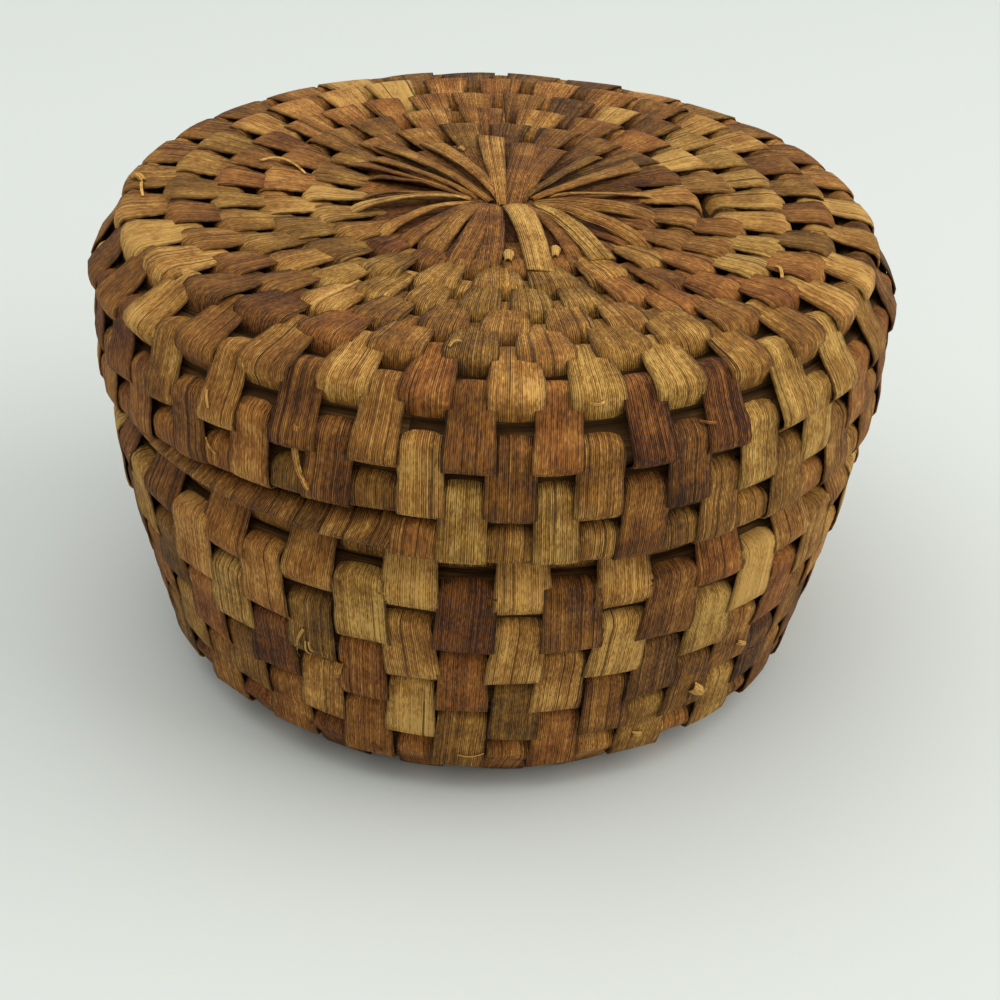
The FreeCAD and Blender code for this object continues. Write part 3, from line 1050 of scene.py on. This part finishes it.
def bundle(name, coil, first, last, end_radius=CANE_RADIUS):
    """A length of the cane, as a bundle of strands, with a ridge to meet each neighbouring row."""
    bm = bmesh.new()
    uv_layer = bm.loops.layers.uv.new("UVMap")
    steps = max(int((last - first) * CANE_STEPS), CANE_STEPS_LEAST)
    bmesh.ops.create_grid(bm, x_segments=CANE_SIDES, y_segments=steps, size=1, calc_uvs=True)
    length = TURN * coil.centre(last).x * (last - first)
    for face in bm.faces:
        for corner in face.loops:
            uv = corner[uv_layer].uv
            corner[uv_layer].uv = (uv.x * TURN * CANE_RADIUS, uv.y * length)
    for vert in bm.verts:
        share = (vert.co.y + 1) / 2
        turns = mixed(first, last, share)
        on_row = min(turns, coil.last_turn)
        way = coil.way(on_row)
        round_angle = math.pi * vert.co.x
        reach = math.cos(round_angle)
        full = mixed(CANE_RADIUS, end_radius, share)
        strand = math.cos(STRANDS * round_angle + STRAND_TWIST * turns)
        radius = full + STRAND_DEPTH * (abs(strand) - 1) * full / CANE_RADIUS
        centre = coil.centre(on_row) + Vector((0, full - CANE_RADIUS))
        out = (way * reach + Vector((-way.y, way.x)) * math.sin(round_angle)) * radius
        if turns <= coil.last_turn - (1 if reach > 0 else 0):
            next_row = coil.centre(turns + math.copysign(1, reach)) - coil.centre(turns)
            ridge = next_row.length / 2 - CANE_RADIUS + FILLING
            out += next_row.normalized() * ridge * abs(reach) ** RIDGE_POWER
        vert.co = on_circle(centre + out, coil.angle(turns))
    seam = [vert for vert in bm.verts if vert.is_boundary]
    bmesh.ops.remove_doubles(bm, verts=seam, dist=MERGE_DISTANCE)
    bmesh.ops.holes_fill(bm, edges=[edge for edge in bm.edges if edge.is_boundary])
    bmesh.ops.recalc_face_normals(bm, faces=bm.faces)
    return finish_piece(name, bm)


def quarter_turn(quarter):
    """Turn count at the end of a quarter; the steps lie half a quarter each side of whole turns."""
    return (quarter + 0.5) / QUARTERS


def quarter_at(turns):
    """The quarter that ends at a turn count."""
    return round(turns * QUARTERS - 0.5)


def first_quarter_past(coil, along):
    """The first quarter of a coil that ends past a length along its profile."""
    quarter = 1
    while coil.along(quarter_turn(quarter)) < along:
        quarter += 1
    return quarter


def add_lengths(coil, name, first, last, count, finish):
    """The cane from one quarter to another, as pieces of about equal length."""
    ends = [quarter_turn(first + (last - first) * step // count) for step in range(count + 1)]
    for number, (start, end) in enumerate(zip(ends, ends[1:]), start=1):
        piece = bundle("%s_bundle_%d" % (name, number), coil, start, end)
        dress(piece, coil, "%s_cane_%d" % (name, number), finish)


def add_cane(finish):
    """The cane of both bodies, cut into the frame's lengths."""
    foot = first_quarter_past(base, foot_centre - FOOT_BEND)
    shoulder = first_quarter_past(lid, lid_centre - SHOULDER_BEND - LID_PITCH / 2)
    base_end = quarter_at(base.last_turn)
    lid_end = quarter_at(lid.last_turn)
    seat_end = base_end - COLLAR_ROWS * QUARTERS
    for coil, name, last in ((base, "floor", foot), (lid, "lid_top", shoulder)):
        piece = bundle(name + "_bundle", coil, coil.first_turn, quarter_turn(last))
        dress(piece, coil, name + "_cane", finish)
    add_lengths(base, "wall", foot, seat_end, WALL_LENGTHS, finish)
    add_lengths(base, "collar", seat_end, base_end, COLLAR_LENGTHS, finish)
    add_lengths(lid, "lid_side", shoulder, lid_end, LID_SIDE_LENGTHS, finish)
    tail_end = lid.last_turn + tail_turns
    piece = bundle("lid_bundle_tail", lid, lid.last_turn, tail_end, TAIL_RADIUS)
    dress(piece, lid, "lid_cane_tail", finish)


def add_base_rows(finish):
    """The rows of strips from the floor to the collar."""
    rim = base_profile.length - COLLAR_ROWS * BASE_PITCH
    half_row = BASE_PITCH / 2
    change = BASE_TONE_CHANGE
    strips = course(base, STAR_TURNS, base.last_turn, BASE_COUNT, base_look, 1, 0.0, change)
    below_lid = [item for item in strips if item[1].ends[0][0].y < RIM_HEIGHT]
    note_tones(seen_strips(below_lid), BASE_NOTES)
    add_rows(base, strips, [
        (foot_centre - FOOT_BEND, "floor"),
        (rim - half_row, "wall"),
        (rim + half_row, "rim"),
        (math.inf, "collar"),
    ], finish)


def add_lid_rows(finish):
    """The rows of strips of the lid, in an inner course and an outer one of more strips."""
    join = LID_INNER_TURNS
    change = LID_INNER_TONE_CHANGE
    strips = course(lid, STAR_TURNS, join, LID_INNER_COUNT, lid_look, 2, JOIN_LIFT, change)
    change = LID_OUTER_TONE_CHANGE
    strips += course(lid, join, lid.last_turn, LID_OUTER_COUNT, lid_look, 2, 0.0, change)
    note_tones(seen_strips(strips), LID_NOTES)
    add_rows(lid, strips, [
        (lid_centre - SHOULDER_BEND, "lid_top"),
        (math.inf, "lid_side"),
    ], finish)


class Value:
    """A number of the shader, with its arithmetic as Math nodes."""

    def __init__(self, finish, socket):
        self.finish = finish
        self.socket = socket

    def output(self, number):
        """Another output of the same node."""
        return Value(self.finish, self.socket.node.outputs[number])

    def reckon(self, operation, first, second=0.0):
        return self.finish.node("ShaderNodeMath", {"operation": operation}, {0: first, 1: second})

    def __add__(self, other):
        return self.reckon("ADD", self, other)

    def __sub__(self, other):
        return self.reckon("SUBTRACT", self, other)

    def __rsub__(self, other):
        return self.reckon("SUBTRACT", other, self)

    def __mul__(self, other):
        return self.reckon("MULTIPLY", self, other)

    __radd__ = __add__
    __rmul__ = __mul__


class Finish:
    """A material whose nodes are made here."""

    def __init__(self, name):
        self.material = bpy.data.materials.new(name)
        self.material.use_nodes = True
        self.tree = self.material.node_tree
        self.shader = self.tree.nodes["Principled BSDF"]

    def node(self, kind, settings=None, inputs=None, output=0):
        """One node: its settings first, then the values or links of its sockets."""
        made = self.tree.nodes.new(kind)
        for name, value in (settings or {}).items():
            if name == "stops":
                self.set_stops(made.color_ramp, value)
            else:
                setattr(made, name, value)
        for name, value in (inputs or {}).items():
            self.feed(made.inputs[name], value)
        return Value(self, made.outputs[output])

    def set_stops(self, ramp, stops):
        while len(ramp.elements) < len(stops):
            ramp.elements.new(1)
        for element, (place, colour) in zip(ramp.elements, stops):
            element.position = place
            element.color = srgb(colour)

    def feed(self, socket, value):
        if isinstance(value, Value):
            self.tree.links.new(value.socket, socket)
        else:
            socket.default_value = value

    def mix(self, share, first, second):
        """Mix of two colours."""
        settings = {"data_type": "RGBA"}
        return self.node("ShaderNodeMix", settings, {0: share, 6: first, 7: second}, 2)

    def surface(self):
        """Places across and along a strip, in millimetres, from its own UV map."""
        uv = self.node("ShaderNodeTexCoord", None, None, "UV")
        across = self.node("ShaderNodeSeparateXYZ", None, {0: uv})
        return across, across.output(1)

    def noise(self, x, y, z, detail, roughness):
        """Noise at a place of three values."""
        place = self.node("ShaderNodeCombineXYZ", None, {0: x, 1: y, 2: z})
        inputs = {"Vector": place, "Scale": 1.0, "Detail": detail, "Roughness": roughness}
        return self.node("ShaderNodeTexNoise", {"noise_dimensions": "3D"}, inputs)

    def between(self, value, low, high):
        """Rises from 0 at low to 1 at high."""
        inputs = {"Value": value, "From Min": low, "From Max": high}
        return self.node("ShaderNodeMapRange", {"interpolation_type": "SMOOTHSTEP"}, inputs)

    def ramp(self, shade, stops):
        """A colour that goes through stops as the shade goes from 0 to 1."""
        return self.node("ShaderNodeValToRGB", {"stops": stops}, {0: shade})

    def bump(self, height, strength, distance):
        inputs = {"Strength": strength, "Distance": distance, "Height": height}
        self.feed(self.shader.inputs["Normal"], self.node("ShaderNodeBump", None, inputs))

    def even(self, name, value):
        """A value that is the same all over the surface."""
        self.shader.inputs[name].default_value = value


def srgb(colour):
    """A colour as the eye sees it, in parts of 255, made linear and opaque."""
    def linear(part):
        part /= 255
        return part / 12.92 if part <= 0.04045 else ((part + 0.055) / 1.055) ** 2.4

    return (*map(linear, colour), 1)


def leaf_finish():
    """Dried leaf: long fibres, dark cracks and blotches over a tone that each strip carries, and
    edges darkened partly as the leaf's own darker cut edge, partly as painted shade of the gaps
    between strips.
    """
    finish = Finish("dried_leaf")
    carried = finish.node("ShaderNodeAttribute", {"attribute_name": "leaf"})
    tone = finish.node("ShaderNodeSeparateColor", None, {0: carried})
    warmth = tone.output(1)
    seed = tone.output(2)
    edge = carried.output("Alpha")
    across, along = finish.surface()

    def pattern(across_rate, along_rate, seed_rate, detail, roughness):
        place = (across * across_rate, along * along_rate, seed * seed_rate)
        return finish.noise(*place, detail, roughness)

    fibres = pattern(*FIBRES)
    streaks = pattern(*STREAKS)
    blotches = pattern(*BLOTCHES)
    specks = pattern(*SPECKS)
    veins = across * VEIN_RATE + streaks * VEIN_DRIFT
    veins = finish.node("ShaderNodeMath", {"operation": "SINE"}, {0: veins})
    cracks = finish.between(pattern(*CRACKS), *CRACK_LEVELS)
    # Darkening at the strips' edges: partly the leaf's darker cut edge, partly painted shade of the
    # gaps between strips
    edges = finish.between(edge, *EDGE_AND_GAP_SHADE_LEVELS)

    shade = tone + (blotches - 0.5) * BLOTCH_SHADE + (streaks - 0.5) * STREAK_SHADE
    shade = shade + (fibres - 0.5) * FIBRE_SHADE + (specks - 0.5) * SPECK_SHADE
    shade = shade + veins * VEIN_SHADE + LEAF_LIGHTER
    colour = finish.mix(warmth, finish.ramp(shade, COOL_LEAF), finish.ramp(shade, WARM_LEAF))
    colour = finish.mix(cracks * CRACK_SHARE, colour, srgb(CRACK_BROWN))
    colour = finish.mix(edges * EDGE_AND_GAP_SHADE_SHARE, colour, srgb(EDGE_AND_GAP_SHADE_BROWN))
    finish.feed(finish.shader.inputs["Base Color"], colour)
    roughness = LEAF_ROUGHNESS - fibres * LEAF_ROUGHNESS_CHANGE
    finish.feed(finish.shader.inputs["Roughness"], roughness)
    finish.even("Specular IOR Level", LEAF_SPECULAR)
    height = fibres * FIBRE_HEIGHT + veins * VEIN_HEIGHT
    height = height - cracks * CRACK_HEIGHT + specks * SPECK_HEIGHT
    finish.bump(height, *LEAF_BUMP)
    return finish.material


def cane_finish():
    """Cane in painted shade: a deep brown that stands for the shade of the slits between rows,
    where alone it shows, with fibres along its length, and darker where dust lies.
    """
    finish = Finish("slit_shaded_cane")
    across, along = finish.surface()

    def pattern(across_rate, along_rate, place, detail, roughness):
        return finish.noise(across * across_rate, along * along_rate, place, detail, roughness)

    fibres = pattern(*CANE_FIBRES)
    dust = pattern(*CANE_DUST)
    # The cane's shade is pushed down so that it paints the shade of the slits between the rows
    shade = fibres * CANE_FIBRE_SHADE + dust * CANE_DUST_SHADE - CANE_SLIT_SHADE_DARKER
    finish.feed(finish.shader.inputs["Base Color"], finish.ramp(shade, CANE_WITH_SLIT_SHADE))
    roughness = CANE_ROUGHNESS - fibres * CANE_ROUGHNESS_CHANGE
    finish.feed(finish.shader.inputs["Roughness"], roughness)
    finish.even("Specular IOR Level", CANE_SPECULAR)
    finish.bump(fibres, *CANE_BUMP)
    return finish.material


def add_floor():
    """A wide pale table top."""
    bm = bmesh.new()
    bmesh.ops.create_grid(bm, x_segments=1, y_segments=1, size=TABLE_REACH)
    floor = finish_piece("table_top", bm)
    finish = Finish("pale_table")
    finish.even("Base Color", srgb(TABLE_GREY))
    finish.even("Roughness", TABLE_ROUGHNESS)
    finish.even("Specular IOR Level", TABLE_SPECULAR)
    floor.data.materials.append(finish.material)


def add_lamp(name, place, watts, colour):
    """A wide soft lamp that shines at the box."""
    lamp = bpy.data.lights.new(name, "AREA")
    lamp.size = LAMP_SIZE
    lamp.energy = watts
    lamp.color = colour
    holder = bpy.data.objects.new(name, lamp)
    holder.location = place
    back = Vector(place) - Vector(LAMP_TARGET)
    holder.rotation_euler = back.to_track_quat("Z", "Y").to_euler()
    bpy.context.scene.collection.objects.link(holder)


def add_light():
    """An evenly lit white room with its lamps."""
    world = bpy.data.worlds.new("room")
    world.use_nodes = True
    walls = world.node_tree.nodes["Background"].inputs
    walls["Color"].default_value = (1, 1, 1, 1)
    walls["Strength"].default_value = ROOM_LIGHT
    bpy.context.scene.world = world
    for lamp in LAMPS:
        add_lamp(*lamp)


def add_camera():
    """A camera in the photo's place."""
    eye, right, upward, forward = photo_view()
    camera = bpy.data.cameras.new("camera")
    camera.sensor_width = SENSOR
    camera.lens = LENS
    camera.clip_start = NEAREST_SEEN * MM
    holder = bpy.data.objects.new("camera", camera)
    turned = Matrix((right, upward, -forward)).transposed().to_4x4()
    holder.matrix_world = Matrix.Translation(eye) @ turned
    bpy.context.scene.collection.objects.link(holder)
    bpy.context.scene.camera = holder


leaf = leaf_finish()
add_cane(cane_finish())
add_star(base, "floor_star", "floor_star_leaves", *FLOOR_STAR, leaf)
add_star(lid, "lid_star", "lid_star_leaves", *LID_STAR, leaf)
add_ribbons(leaf)
add_tail_wraps(leaf)
add_base_rows(leaf)
add_lid_rows(leaf)
add_loose("base_loose_fibres", base, BASE_LOOSE, leaf)
add_loose("lid_loose_fibres", lid, LID_LOOSE, leaf)
add_floor()
add_light()
add_camera()
bpy.context.scene.view_settings.view_transform = "Standard"
